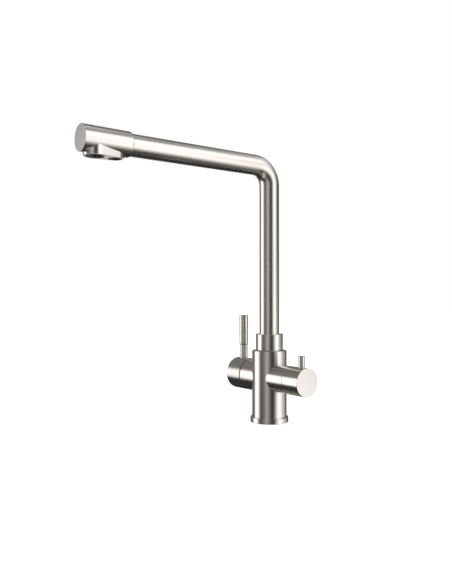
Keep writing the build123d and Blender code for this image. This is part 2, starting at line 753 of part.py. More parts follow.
def make_swivel():
    """What the spout turns on: spigot, seals, slip washer and the screw that keeps it down."""
    socket_radius = spigot_radius + running_gap
    spigot = rod(upright, spigot_radius, spigot_start_z, collar_floor_z, edge_break, 0)
    spigot += rod(upright, tube_radius, collar_floor_z, flange_top_z)
    spigot -= rod(upright, spigot_bore_radius, spigot_start_z, flange_top_z)
    groove_floor = spigot_radius - 2 * swivel_seal_radius
    seals = []
    for drop in swivel_seal_drops:
        along = body_height - drop
        groove_outer = spigot_radius + cut_overrun
        spigot -= seal_groove(upright, groove_outer, groove_floor, along, swivel_seal_radius)
        centre = spigot_radius - swivel_seal_radius
        seals.append(round_seal(upright, centre, swivel_seal_radius, along))
    save("swivel_o_rings", Compound(children=seals))
    retainer_floor = spigot_radius - retainer_groove_depth
    groove_low = retainer_z - retainer_groove_width / 2
    groove_high = retainer_z + retainer_groove_width / 2
    spigot -= ring(upright, spigot_radius + cut_overrun, retainer_floor, groove_low, groove_high)
    save("swivel_spigot", spigot)

    tip_start = retainer_floor + free_gap
    thread_start = tip_start + retainer_tip_length
    thread_end = body_radius - retainer_screw_sink
    screw = rod(rear_axis, retainer_tip_radius, tip_start, thread_start)
    screw += grub_screw(rear_axis, retainer_screw_radius, thread_start, thread_end, hex_key, hex_key_depth)
    save("spout_retaining_screw", screw)

    washer_bottom = body_height + running_gap
    washer_top = washer_bottom + washer_thickness
    save("swivel_washer", ring(upright, washer_outer_radius, washer_inner_radius, washer_bottom, washer_top))

    collar = rod(upright, collar_radius, collar_bottom_z, collar_top_z, edge_break, edge_break)
    collar -= rod(upright, socket_radius, collar_bottom_z, collar_floor_z)
    collar -= rod(upright, tube_radius + static_gap, collar_floor_z, collar_top_z)
    pocket_outer = washer_outer_radius + static_gap
    collar -= ring(upright, pocket_outer, washer_inner_radius - static_gap, collar_bottom_z, washer_top)
    save("spout_collar", collar)


def bent_bar(radius, start_z, end_reach):
    """A round bar that rises, bends and runs level along the arm."""
    corners = [(0, 0, start_z), (0, 0, arm_height), (0, -end_reach, arm_height)]
    route = FilletPolyline(*corners, radius=bend_radius)
    return sweep(Plane(origin=corners[0], z_dir=(0, 0, 1)) * Circle(radius), path=route)


def make_spout():
    """The bent tube, the sleeve at its end and the cap that closes the sleeve."""
    tube = bent_bar(tube_radius, flange_top_z, tube_end_reach)
    tube -= bent_bar(tube_radius - tube_wall, flange_top_z, tube_end_reach)
    save("spout_tube", tube)

    cap_inner_reach = spout_reach - end_cap_thickness
    tube_grip = tube_radius + static_gap
    outline = [
        (head_rear_reach, tube_grip), (head_rear_reach, head_rear_radius),
        (cap_inner_reach, head_tip_radius), (cap_inner_reach, head_bore_radius),
        (tube_end_reach, head_bore_radius), (tube_end_reach, tube_grip),
    ]
    head = turned(arm_axis, outline)
    rear_rim = head.edges().group_by(Axis.Y)[-1].sort_by(SortBy.RADIUS)[-1]
    head = fillet(rear_rim, head_rear_radius - tube_grip - head_rear_lip)
    head -= extrude(Pos(0, 0, block_bottom_z) * drop_outline(static_gap), block_top_z - block_bottom_z)
    save("spout_head", head)

    plug_radius = head_bore_radius - static_gap
    plug_start = cap_inner_reach - end_cap_plug_depth
    end_cap = rod(arm_axis, head_tip_radius, cap_inner_reach, spout_reach, 0, edge_break / 2)
    end_cap += rod(arm_axis, plug_radius, plug_start, cap_inner_reach, edge_break, 0)
    save("spout_end_cap", end_cap)


def make_outlet_block():
    """The drop-shaped block: an open main outlet, and a filter outlet fed by the hose."""
    main = upright_at(0, -main_outlet_reach)
    small = upright_at(0, -filter_outlet_reach)
    block = extrude(Pos(0, 0, block_bottom_z) * drop_outline(), block_top_z - block_bottom_z)
    block = chamfer(block.faces().sort_by(Axis.Z)[0].outer_wire().edges(), block_edge)
    collar_top = block_top_z + main_collar_height
    block += rod(main, main_collar_radius, block_top_z, collar_top)
    block += rod(small, filter_post_radius, block_top_z, filter_post_top_z)
    block -= rod(main, main_outlet_radius, block_bottom_z, block_top_z)
    block -= rod(main, main_inlet_radius, block_top_z, collar_top)
    block -= rod(small, filter_outlet_radius, block_bottom_z, filter_roof_z)
    block -= rod(small, block_channel_radius, filter_roof_z, arm_height)
    block -= rod(arm_axis, block_channel_radius, post_rear_reach, filter_outlet_reach)
    socket_end = post_rear_reach + head_nipple_thread_length
    block -= rod(arm_axis, head_nipple_thread_radius + static_gap, post_rear_reach, socket_end)
    save("outlet_block", block)


def make_outlet_insert(name, reach, bore_radius, height, roof_z, rings):
    """A threaded housing, its perforated insert and the washer that it seals on."""
    axis = upright_at(0, -reach)
    outer = bore_radius - static_gap
    inner = outer - insert_wall
    lip_top = insert_bottom_z + insert_lip_height
    washer_bottom = roof_z - washer_height
    housing = ring(axis, outer, inner, insert_bottom_z, washer_bottom)
    housing += ring(axis, inner, inner - insert_lip, insert_bottom_z, lip_top)
    save(f"{name}_aerator_housing", housing)

    insert = rod(axis, inner - static_gap, lip_top, lip_top + height)
    for index, count in enumerate(rings):
        for step in range(count):
            along, across = polar(index * insert_hole_pitch, step * 360 / count)
            hole = upright_at(across, along - reach)
            insert -= rod(hole, insert_hole_radius, lip_top, lip_top + height)
    save(f"{name}_aerator_insert", insert)
    save(f"{name}_aerator_washer", ring(axis, outer, outer - washer_width, washer_bottom, roof_z))


def make_filter_hose():
    """The inner waterway for filtered water, from a fixed nipple in the body to the outlet block."""
    nipple = rod(upright, nipple_thread_radius, nipple_bottom_z, socket_floor_z)
    nipple += prism(upright, hexagon(nipple_hex_across_flats), socket_floor_z, nipple_hex_top_z)
    nipple += rod(upright, nipple_shank_radius, nipple_hex_top_z, nipple_top_z, 0, edge_break)
    nipple -= rod(upright, nipple_bore_radius, nipple_bottom_z, nipple_top_z)
    save("hose_nipple", nipple)

    shank_bore = nipple_shank_radius + running_gap
    groove_floor = shank_bore + 2 * hose_seal_radius
    barb_radius = hose_bore_radius - static_gap
    sleeve = rod(upright, swivel_sleeve_radius, swivel_sleeve_start_z, hose_start_z, edge_break, edge_break)
    sleeve += rod(upright, barb_radius, hose_start_z, hose_start_z + barb_length, 0, edge_break)
    sleeve -= rod(upright, shank_bore, swivel_sleeve_start_z, swivel_sleeve_floor_z)
    sleeve -= rod(upright, nipple_bore_radius, swivel_sleeve_floor_z, hose_start_z + barb_length)
    sleeve -= seal_groove(upright, nipple_shank_radius, groove_floor, hose_seal_z, hose_seal_radius)
    save("hose_swivel_sleeve", sleeve)
    seal_centre = shank_bore + hose_seal_radius
    save("hose_swivel_o_ring", round_seal(upright, seal_centre, hose_seal_radius, hose_seal_z))

    hose = bent_bar(hose_radius, hose_start_z, hose_end_reach)
    hose -= bent_bar(hose_bore_radius, hose_start_z, hose_end_reach)
    save("filter_hose", hose)

    thread_end = post_rear_reach + head_nipple_thread_length
    nipple = rod(arm_axis, barb_radius, hose_end_reach - barb_length, hose_end_reach, edge_break, 0)
    nipple += rod(arm_axis, head_nipple_flange_radius, hose_end_reach, post_rear_reach)
    nipple += rod(arm_axis, head_nipple_thread_radius, post_rear_reach, thread_end)
    nipple -= rod(arm_axis, nipple_bore_radius, hose_end_reach - barb_length, thread_end)
    save("hose_head_nipple", nipple)

    grip = hose_radius + static_gap
    lower = hose_start_z + ferrule_setback
    upper = hose_end_reach - ferrule_setback
    ferrules = [
        ring(upright, grip + ferrule_wall, grip, lower, lower + ferrule_length),
        ring(arm_axis, grip + ferrule_wall, grip, upper - ferrule_length, upper),
    ]
    save("hose_ferrules", Compound(children=ferrules))


os.makedirs("parts", exist_ok=True)
save("tap_body", make_tap_body())
make_base()
make_mixer_cartridge()
make_mixer_stem()
make_mixer_handle()
make_filter_valve()
make_filter_spindle()
make_filter_handle()
make_swivel()
make_spout()
make_outlet_block()
make_outlet_insert("main", main_outlet_reach, main_outlet_radius, main_insert_height,
                   block_top_z, insert_ring_counts)
make_outlet_insert("filter", filter_outlet_reach, filter_outlet_radius, filter_insert_height,
                   filter_roof_z, insert_ring_counts[:-1])
make_filter_hose()
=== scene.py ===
"""Looks of the three-way kitchen tap: its visible pieces, finishes, studio and camera.

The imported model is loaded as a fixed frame, in metres, and every new piece is made in its place there.
The spout points along -Y, the mixer valve is on -X and the filter valve on +X.
"""

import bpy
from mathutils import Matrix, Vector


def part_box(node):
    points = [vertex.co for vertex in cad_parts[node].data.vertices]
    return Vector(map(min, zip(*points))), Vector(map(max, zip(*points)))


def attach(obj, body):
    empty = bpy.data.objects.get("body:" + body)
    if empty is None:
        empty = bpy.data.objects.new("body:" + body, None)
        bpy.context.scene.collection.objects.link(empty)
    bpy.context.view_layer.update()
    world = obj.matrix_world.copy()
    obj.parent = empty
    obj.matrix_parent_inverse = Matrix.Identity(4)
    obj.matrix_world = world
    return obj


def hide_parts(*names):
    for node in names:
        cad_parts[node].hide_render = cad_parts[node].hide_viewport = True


bl_info = {
    "name": "Three-way kitchen tap",
    "version": (1, 0, 0),
    "blender": (4, 5, 0),
    "location": "3D View > Sidebar > Tap",
    "description": "Models the visible pieces of a brushed nickel filter tap round its packed frame",
    "category": "Object",
}

from math import atan2, cos, pi, radians, sin, tau

import bmesh
import bpy
from bpy.props import FloatProperty, FloatVectorProperty, IntProperty, PointerProperty
from bpy.types import Operator, Panel, PropertyGroup
from mathutils import Matrix, Vector

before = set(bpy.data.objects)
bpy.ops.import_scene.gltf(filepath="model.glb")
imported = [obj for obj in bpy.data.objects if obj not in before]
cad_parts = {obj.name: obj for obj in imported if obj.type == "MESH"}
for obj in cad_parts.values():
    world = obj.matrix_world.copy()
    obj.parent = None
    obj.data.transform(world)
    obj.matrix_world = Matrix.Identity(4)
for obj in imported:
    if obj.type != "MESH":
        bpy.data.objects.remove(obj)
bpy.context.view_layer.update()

millimetre = 0.001
touching, same_place = 1e-6, 1e-5
up, down = Vector((0, 0, 1)), Vector((0, 0, -1))
to_filter, to_mixer = Vector((1, 0, 0)), Vector((-1, 0, 0))
to_user, to_wall = Vector((0, -1, 0)), Vector((0, 1, 0))

# Sizes that several pieces share
clearance = 0.05 * millimetre
overrun = 1 * millimetre
socket_radius = 11.05 * millimetre
foot_step, foot_height = 2 * millimetre, 2.5 * millimetre


def low(node):
    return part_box(node)[0]


def high(node):
    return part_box(node)[1]


def middle(node):
    return (low(node) + high(node)) / 2


def length(name, text, default):
    """A size in metres that a user may change, given here in millimetres."""
    return FloatProperty(name=name, description=text, default=default * millimetre, min=0, precision=5,
                         unit="LENGTH", subtype="DISTANCE")


def share(name, text, default, soft_max=1.0):
    return FloatProperty(name=name, description=text, default=default, min=0, soft_max=soft_max)


def colour(name, text, default):
    return FloatVectorProperty(name=name, description=text, default=default, min=0, max=1, size=3,
                               subtype="COLOR")


class TapShape(PropertyGroup):
    """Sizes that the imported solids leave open: roundings, walls and how finely round forms are cut."""
    steps: IntProperty(name="Steps round", description="Faces round each turned piece", default=160, min=24)
    rim_steps: IntProperty(name="Rim steps", description="Faces across each rounded rim", default=8, min=1)
    bend_steps: IntProperty(name="Bend steps", description="Rings along the tube's bend", default=48, min=8)
    body_rim: length("Body rim", "Rounding of the body's top rim", 0.8)
    soft_rim: length("Soft rim", "Rounding of the collar, base ring and lever ends", 0.4)
    seam_rim: length("Seam rim", "Rounding where a handle cap meets its boss", 0.15)
    fine_rim: length("Fine rim", "Rounding of the smallest edges", 0.15)
    sleeve_rim: length("Sleeve rim", "Rounding of the step where the spout's sleeve begins", 1.6)
    tube_wall: length("Tube wall", "Thickness of the spout tube's wall", 1.2)
    bend_radius: length("Bend radius", "Radius of the tube's centre line in its bend", 25.5)


class TapFinish(PropertyGroup):
    """Colours and surface values of the finishes."""
    nickel: colour("Nickel", "Colour of the brushed nickel", (0.640, 0.602, 0.566))
    nickel_roughness: share("Nickel roughness", "Mean roughness of the brushed nickel", 0.24)
    brushing: share("Brushing", "How much longer highlights are across the brushing than along it", 0.45)
    face_roughness: share("Face roughness", "Roughness of the nickel's flat faces", 0.20)
    brass: colour("Brass", "Colour of the machined brass", (0.72, 0.50, 0.24))
    steel: colour("Steel", "Colour of the plain steel", (0.60, 0.60, 0.61))
    rubber: colour("Rubber", "Colour of the seals", (0.018, 0.018, 0.018))
    dark_plastic: colour("Dark plastic", "Colour of the outlet inserts and plugs", (0.030, 0.031, 0.032))
    pale_plastic: colour("Pale plastic", "Colour of the inner hose and cartridge base", (0.66, 0.66, 0.63))
    ceramic: colour("Ceramic", "Colour of the valve discs", (0.80, 0.80, 0.77))


class TapStudio(PropertyGroup):
    """The floor, lamps and camera."""
    backdrop: colour("Backdrop", "Colour of the floor and background", (1.0, 1.0, 1.0))
    floor_glow: share("Floor glow", "Part of the floor's paleness that no shadow takes away", 0.72)
    sky_light: share("Sky light", "Soft light from all round on matt surfaces", 0.45)
    lamp_power: share("Lamp power", "Power of each soft lamp in watts", 9.0, 100.0)
    camera_azimuth: FloatProperty(name="Camera azimuth", description="Direction of the camera round the tap",
                                  default=radians(49.67), subtype="ANGLE", unit="ROTATION")
    camera_distance: length("Camera distance", "Level distance from the tap's axis to the camera", 831.0)
    camera_height: length("Camera height", "Height of the camera above the worktop", 167.55)
    camera_yaw: FloatProperty(name="Camera yaw", description="Turn of the camera away from the tap's axis",
                              default=radians(-3.967), subtype="ANGLE", unit="ROTATION")
    camera_pitch: FloatProperty(name="Camera pitch", description="Upward tilt of the camera",
                                default=radians(0.245), subtype="ANGLE", unit="ROTATION")
    camera_lens: FloatProperty(name="Camera lens", description="Focal length in millimetres on a 36 mm side",
                               default=38.46, min=1)


# Materials

def new_material(name):
    """An empty node material with its principled shader and output."""
    material = bpy.data.materials.new(name)
    material.use_nodes = True
    tree = material.node_tree
    tree.nodes.clear()
    shader = tree.nodes.new("ShaderNodeBsdfPrincipled")
    output = tree.nodes.new("ShaderNodeOutputMaterial")
    tree.links.new(shader.outputs["BSDF"], output.inputs["Surface"])
    return material, tree, shader


def add_node(tree, kind, inputs=None, **settings):
    """A node with its settings, and inputs that are values or other nodes' outputs."""
    node = tree.nodes.new(kind)
    for key, value in settings.items():
        setattr(node, key, value)
    for key, value in (inputs or {}).items():
        if isinstance(value, bpy.types.NodeSocket):
            tree.links.new(value, node.inputs[key])
        else:
            node.inputs[key].default_value = value
    return node


def arithmetic(tree, operation, first, second=0.0):
    return add_node(tree, "ShaderNodeMath", {0: first, 1: second}, operation=operation).outputs[0]


def spread(tree, value, lowest, highest, start=0.0, end=1.0, how="LINEAR"):
    """A value from start to end, carried over to lowest to highest."""
    inputs = {"Value": value, "From Min": start, "From Max": end, "To Min": lowest, "To Max": highest}
    return add_node(tree, "ShaderNodeMapRange", inputs, interpolation_type=how).outputs["Result"]


def noise(tree, place, scale, detail=2.0, roughness=0.5):
    inputs = {"Vector": place, "Scale": scale, "Detail": detail, "Roughness": roughness}
    return add_node(tree, "ShaderNodeTexNoise", inputs).outputs["Fac"]


def tinted(tree, value, shade, variation):
    """A colour that varies a little, lighter and darker, with a value from 0 to 1."""
    ramp = tree.nodes.new("ShaderNodeValToRGB")
    for element, factor in zip(ramp.color_ramp.elements, (1 - variation, 1 + variation)):
        element.color = (*[min(1.0, part * factor) for part in shade], 1.0)
    tree.links.new(value, ramp.inputs["Fac"])
    return ramp.outputs["Color"]


def bump(tree, height, depth, strength=1.0):
    inputs = {"Height": height, "Distance": depth, "Strength": strength}
    return add_node(tree, "ShaderNodeBump", inputs).outputs["Normal"]


def brushed_round(finish):
    """Nickel with fine lines round each turned form, on a UV map of metres along and turns round."""
    material, tree, shader = new_material("nickel, brushed round")
    chart = add_node(tree, "ShaderNodeUVMap", uv_map="brushing")
    parts = add_node(tree, "ShaderNodeSeparateXYZ", {0: chart.outputs["UV"]})
    angle = arithmetic(tree, "MULTIPLY", parts.outputs["Y"], tau)
    lines_per_metre, breaks_round = 3200.0, 0.7
    lines = add_node(tree, "ShaderNodeCombineXYZ", {
        "X": arithmetic(tree, "MULTIPLY", parts.outputs["X"], lines_per_metre),
        "Y": arithmetic(tree, "MULTIPLY", arithmetic(tree, "COSINE", angle), breaks_round),
        "Z": arithmetic(tree, "MULTIPLY", arithmetic(tree, "SINE", angle), breaks_round)})
    line = noise(tree, lines.outputs[0], 1.0, 3.0, 0.6)
    place = add_node(tree, "ShaderNodeTexCoord").outputs["Object"]
    cloud = noise(tree, place, 45.0, 2.0)
    mixed = arithmetic(tree, "ADD", arithmetic(tree, "MULTIPLY", line, 0.75),
                       arithmetic(tree, "MULTIPLY", cloud, 0.25))
    mean = finish.nickel_roughness
    tree.links.new(spread(tree, mixed, mean - 0.02, mean + 0.02, 0.25, 0.75), shader.inputs["Roughness"])
    tree.links.new(tinted(tree, mixed, finish.nickel, 0.015), shader.inputs["Base Color"])
    tree.links.new(bump(tree, line, 0.0000006), shader.inputs["Normal"])
    shader.inputs["Metallic"].default_value = 1.0
    shader.inputs["Anisotropic"].default_value = finish.brushing
    tangent = add_node(tree, "ShaderNodeTangent", direction_type="UV_MAP", uv_map="brushing")
    tree.links.new(tangent.outputs["Tangent"], shader.inputs["Tangent"])
    return material


def satin_flat(finish):
    """Nickel on flat faces: an even satin with a very fine grain."""
    material, tree, shader = new_material("nickel, satin flat")
    place = add_node(tree, "ShaderNodeTexCoord").outputs["Object"]
    grain = noise(tree, place, 2600.0, 3.0, 0.6)
    cloud = noise(tree, place, 60.0, 2.0)
    mixed = arithmetic(tree, "ADD", arithmetic(tree, "MULTIPLY", grain, 0.7),
                       arithmetic(tree, "MULTIPLY", cloud, 0.3))
    mean = finish.face_roughness
    tree.links.new(spread(tree, mixed, mean - 0.03, mean + 0.03, 0.25, 0.75), shader.inputs["Roughness"])
    tree.links.new(tinted(tree, mixed, finish.nickel, 0.03), shader.inputs["Base Color"])
    tree.links.new(bump(tree, grain, 0.000001), shader.inputs["Normal"])
    shader.inputs["Metallic"].default_value = 1.0
    return material


def machined(name, shade, roughness, pitch):
    """Plain metal with fine tool marks in rings."""
    material, tree, shader = new_material(name)
    place = add_node(tree, "ShaderNodeTexCoord").outputs["Object"]
    marks = noise(tree, place, pitch, 4.0, 0.65)
    tree.links.new(spread(tree, marks, roughness - 0.08, roughness + 0.08), shader.inputs["Roughness"])
    tree.links.new(tinted(tree, marks, shade, 0.06), shader.inputs["Base Color"])
    tree.links.new(bump(tree, marks, 0.000006), shader.inputs["Normal"])
    shader.inputs["Metallic"].default_value = 1.0
    return material


def moulded(name, shade, roughness, pitch, depth, variation=0.12, gloss=0.5):
    """Rubber, plastic or ceramic with a fine moulded texture."""
    material, tree, shader = new_material(name)
    place = add_node(tree, "ShaderNodeTexCoord").outputs["Object"]
    skin = noise(tree, place, pitch, 3.0, 0.55)
    tree.links.new(spread(tree, skin, roughness - 0.06, roughness + 0.06), shader.inputs["Roughness"])
    tree.links.new(tinted(tree, skin, shade, variation), shader.inputs["Base Color"])
    tree.links.new(bump(tree, skin, depth), shader.inputs["Normal"])
    shader.inputs["Specular IOR Level"].default_value = gloss
    return material


# Making pieces with mesh operators

def axis_side(along):
    """A direction square to an axis: straight up for level axes, to the filter side for upright ones."""
    return to_filter if abs(along.z) > 0.5 else up


def turn(outline, centre, along, steps):
    """A closed form from (along, radius) corners in metres, spun once round its axis."""
    form = bmesh.new()
    aside = axis_side(along)
    corners = [form.verts.new(centre + along * corner[0] + aside * corner[1]) for corner in outline]
    for corner, following in zip(corners, corners[1:]):
        form.edges.new((corner, following))
    if outline[0][1] > touching:
        form.edges.new((corners[-1], corners[0]))
    bmesh.ops.spin(form, geom=form.verts[:] + form.edges[:], cent=centre, axis=along, angle=tau,
                   steps=steps, use_merge=True)
    bmesh.ops.remove_doubles(form, verts=form.verts, dist=touching)
    bmesh.ops.recalc_face_normals(form, faces=form.faces)
    return form


def place_on_axis(point, centre, along):
    """How far along an axis a point is, and how far from it."""
    offset = point - centre
    distance = offset.dot(along)
    return distance, (offset - along * distance).length


def round_rims(form, outline, centre, along, rim_steps):
    """Rounds the rims whose corner in the outline has a third number, the rounding."""
    for corner in outline:
        if len(corner) < 3:
            continue
        rim = []
        for edge in form.edges:
            places = [place_on_axis(vert.co, centre, along) for vert in edge.verts]
            if all(abs(distance - corner[0]) < same_place and abs(radius - corner[1]) < same_place
                   for distance, radius in places):
                rim.append(edge)
        bmesh.ops.bevel(form, geom=rim, offset=corner[2], offset_type="OFFSET", segments=rim_steps,
                        profile=0.5, affect="EDGES", clamp_overlap=True, material=-1)


def lay_brushing(form, centre, along):
    """Brushing's UV map: metres along the axis, and turns round it. Flat ends take slot 1."""
    layer = form.loops.layers.uv.get("brushing") or form.loops.layers.uv.new("brushing")
    aside = axis_side(along)
    across = along.cross(aside)
    end_on = 0.95
    for face in form.faces:
        middle_offset = face.calc_center_median() - centre
        start = atan2(middle_offset.dot(across), middle_offset.dot(aside))
        face.material_index = 1 if abs(face.normal.dot(along)) > end_on else 0
        for loop in face.loops:
            offset = loop.vert.co - centre
            turned = atan2(offset.dot(across), offset.dot(aside)) - start
            turned = (turned + pi) % tau - pi
            loop[layer].uv = (offset.dot(along), (start + turned) / tau)


def turned_form(shape, outline, centre, along):
    """A turned form with its rims rounded and its brushing laid."""
    form = turn(outline, centre, along, shape.steps)
    round_rims(form, outline, centre, along, shape.rim_steps)
    lay_brushing(form, centre, along)
    return form


def new_object(name, form, materials):
    """An object at the origin from a form, which is used up."""
    mesh = bpy.data.meshes.new(name)
    form.to_mesh(mesh)
    form.free()
    for material in materials:
        mesh.materials.append(material)
    thing = bpy.data.objects.new(name, mesh)
    bpy.context.scene.collection.objects.link(thing)
    return thing


def combine(thing, others, operation):
    """Adds other objects to a thing, or cuts them from it, and takes them away."""
    for other in others:
        step = thing.modifiers.new("combine", "BOOLEAN")
        step.operation = operation
        step.solver = "EXACT"
        step.material_mode = "TRANSFER"
        step.object = other
    graph = bpy.context.evaluated_depsgraph_get()
    made = bpy.data.meshes.new_from_object(thing.evaluated_get(graph), preserve_all_data_layers=True,
                                           depsgraph=graph)
    thing.modifiers.clear()
    plain, thing.data = thing.data, made
    made.name = plain.name
    bpy.data.meshes.remove(plain)
    for other in others:
        bpy.data.objects.remove(other)


def cutter(shape, radius, start, end, centre, along, materials):
    """A round bar to cut a hole with."""
    outline = [(start, 0), (start, radius), (end, radius), (end, 0)]
    form = turn(outline, centre, along, shape.steps // 2)
    lay_brushing(form, centre, along)
    return new_object("cutter", form, materials)


def finish_piece(thing, body, nodes, smooth=13.0):
    """Shades a piece, sets it on its body and lets it stand for its CAD nodes."""
    mesh = thing.data
    mesh.shade_smooth()
    mesh.set_sharp_from_angle(angle=radians(smooth))
    weighted = thing.modifiers.new("even shading", "WEIGHTED_NORMAL")
    weighted.keep_sharp = True
    weighted.weight = 100
    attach(thing, body)
    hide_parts(*nodes)
    return thing


def nickel():
    return [bpy.data.materials["nickel, brushed round"], bpy.data.materials["nickel, satin flat"]]


def bare_brass():
    return [bpy.data.materials["brass, machined"]] * 2


class TapOperator:
    """What the tap's operators share"""
    bl_options = {"REGISTER", "UNDO"}


class TAP_OT_finishes(TapOperator, Operator):
    """Mix the finishes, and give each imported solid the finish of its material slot"""
    bl_idname = "tap.finishes"
    bl_label = "Finishes"

    def execute(self, context):
        finish = context.scene.tap_finish
        brushed_round(finish)
        satin = satin_flat(finish)
        by_slot = {
            "brushed_nickel": satin,
            "plain_brass": machined("brass, machined", finish.brass, 0.32, 900.0),
            "bright_steel": machined("steel, plain", finish.steel, 0.28, 1200.0),
            "black_rubber": moulded("rubber, matt black", finish.rubber, 0.72, 1400.0, 0.00002, gloss=0.2),
            "dark_plastic": moulded("plastic, dark", finish.dark_plastic, 0.45, 1800.0, 0.00001),
            "pale_plastic": moulded("plastic, natural", finish.pale_plastic, 0.48, 700.0, 0.00001, 0.04),
            "white_ceramic": moulded("ceramic, white", finish.ceramic, 0.16, 500.0, 0.000002, 0.02),
        }
        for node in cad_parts.values():
            for holder in node.material_slots:
                holder.material = by_slot[holder.material.name]
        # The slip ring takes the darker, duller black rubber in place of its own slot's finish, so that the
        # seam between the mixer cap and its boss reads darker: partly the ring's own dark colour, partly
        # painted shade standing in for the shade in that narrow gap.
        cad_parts["mixer_slip_ring"].material_slots[0].material = by_slot["black_rubber"]
        return {"FINISHED"}


class TAP_OT_body(TapOperator, Operator):
    """Model the tap's body: the column, its two valve bosses, their cavities and the ports underneath"""
    bl_idname = "tap.body"
    bl_label = "Body"

    def execute(self, context):
        shape = context.scene.tap_shape
        mm = millimetre
        radius, top = high("tap_body").y, high("tap_body").z
        valves = Vector((0, 0, middle("mixer_handle_cap").z))
        mixer_radius, filter_radius = high("mixer_handle_cap").y, high("filter_handle_cap").y
        mixer_end, filter_end = -low("tap_body").x, high("tap_body").x
        foot_radius = radius - foot_step
        socket_depth = 15 * mm
        socket_floor = top - socket_depth
        column = new_object("tap_body_shell", turned_form(shape, [
            (0, 0), (0, foot_radius), (foot_height, foot_radius), (foot_height, radius),
            (top, radius, shape.body_rim), (top, socket_radius, shape.fine_rim),
            (socket_floor, socket_radius), (socket_floor, 0)], Vector(), up), nickel())
        bosses = []
        boss_inset = 1 * mm
        for along, size, end, start in ((to_mixer, mixer_radius, mixer_end, 0.0),
                                        (to_filter, filter_radius, filter_end, boss_inset)):
            outline = [(start, 0), (start, size), (end, size, shape.seam_rim), (end, 0)]
            bosses.append(new_object("boss", turned_form(shape, outline, valves, along), nickel()))
        combine(column, bosses, "UNION")

        nut_bore, cartridge_bore, filter_bore = 18.65 * mm, 17.55 * mm, 10.4 * mm
        nut_seat, cartridge_floor, cartridge_top, filter_floor = 29.75 * mm, 14 * mm, 30 * mm, 17 * mm
        screw_bore, screw_start = 2.55 * mm, 5 * mm
        port, stud, port_depth = 5 * mm, 4 * mm, 12 * mm
        filter_port_x, supply_x, stud_x = 12.5 * mm, -9 * mm, 4 * mm
        supply_y = foot_radius - 11.5 * mm
        stud_y = foot_radius - 6.5 * mm
        screw_height = Vector((0, 0, middle("spout_retaining_screw").z))
        brass = bare_brass()
        cutters = [
            cutter(shape, nut_bore, nut_seat, mixer_end + overrun, valves, to_mixer, brass),
            cutter(shape, cartridge_bore, cartridge_floor, cartridge_top, valves, to_mixer, brass),
            cutter(shape, filter_bore, filter_floor, filter_end + overrun, valves, to_filter, brass),
            cutter(shape, screw_bore, screw_start, radius + overrun, screw_height, to_wall, brass),
            cutter(shape, port, -overrun, port_depth, Vector((filter_port_x, 0, 0)), up, brass),
        ]
        for side in (-1, 1):
            for bore, x, y in ((port, supply_x, supply_y), (stud, stud_x, stud_y)):
                place = Vector((x, side * y, 0))
                cutters.append(cutter(shape, bore, -overrun, port_depth, place, up, brass))
        combine(column, cutters, "DIFFERENCE")
        finish_piece(column, "tap", ["tap_body"])
        return {"FINISHED"}


class TAP_OT_base_ring(TapOperator, Operator):
    """Model the ring round the body's foot"""
    bl_idname = "tap.base_ring"
    bl_label = "Base ring"

    def execute(self, context):
        shape = context.scene.tap_shape
        outer, top = high("base_ring").y, high("base_ring").z
        grip = high("tap_body").y + clearance
        foot_grip = grip - foot_step
        seal_low, seal_high = low("foot_seal"), high("foot_seal")
        groove_depth, inner_lip = seal_high.z - seal_low.z, 0.9 * millimetre
        groove_outer, groove_inner = seal_high.y + clearance, foot_grip + inner_lip
        ring = turned_form(shape, [
            (0, foot_grip), (foot_height, foot_grip), (foot_height, grip), (top, grip, shape.fine_rim),
            (top, outer, shape.soft_rim), (0, outer, shape.soft_rim), (0, groove_outer),
            (groove_depth, groove_outer), (groove_depth, groove_inner), (0, groove_inner)], Vector(), up)
        finish_piece(new_object("base_ring_shell", ring, nickel()), "tap", ["base_ring"])
        return {"FINISHED"}


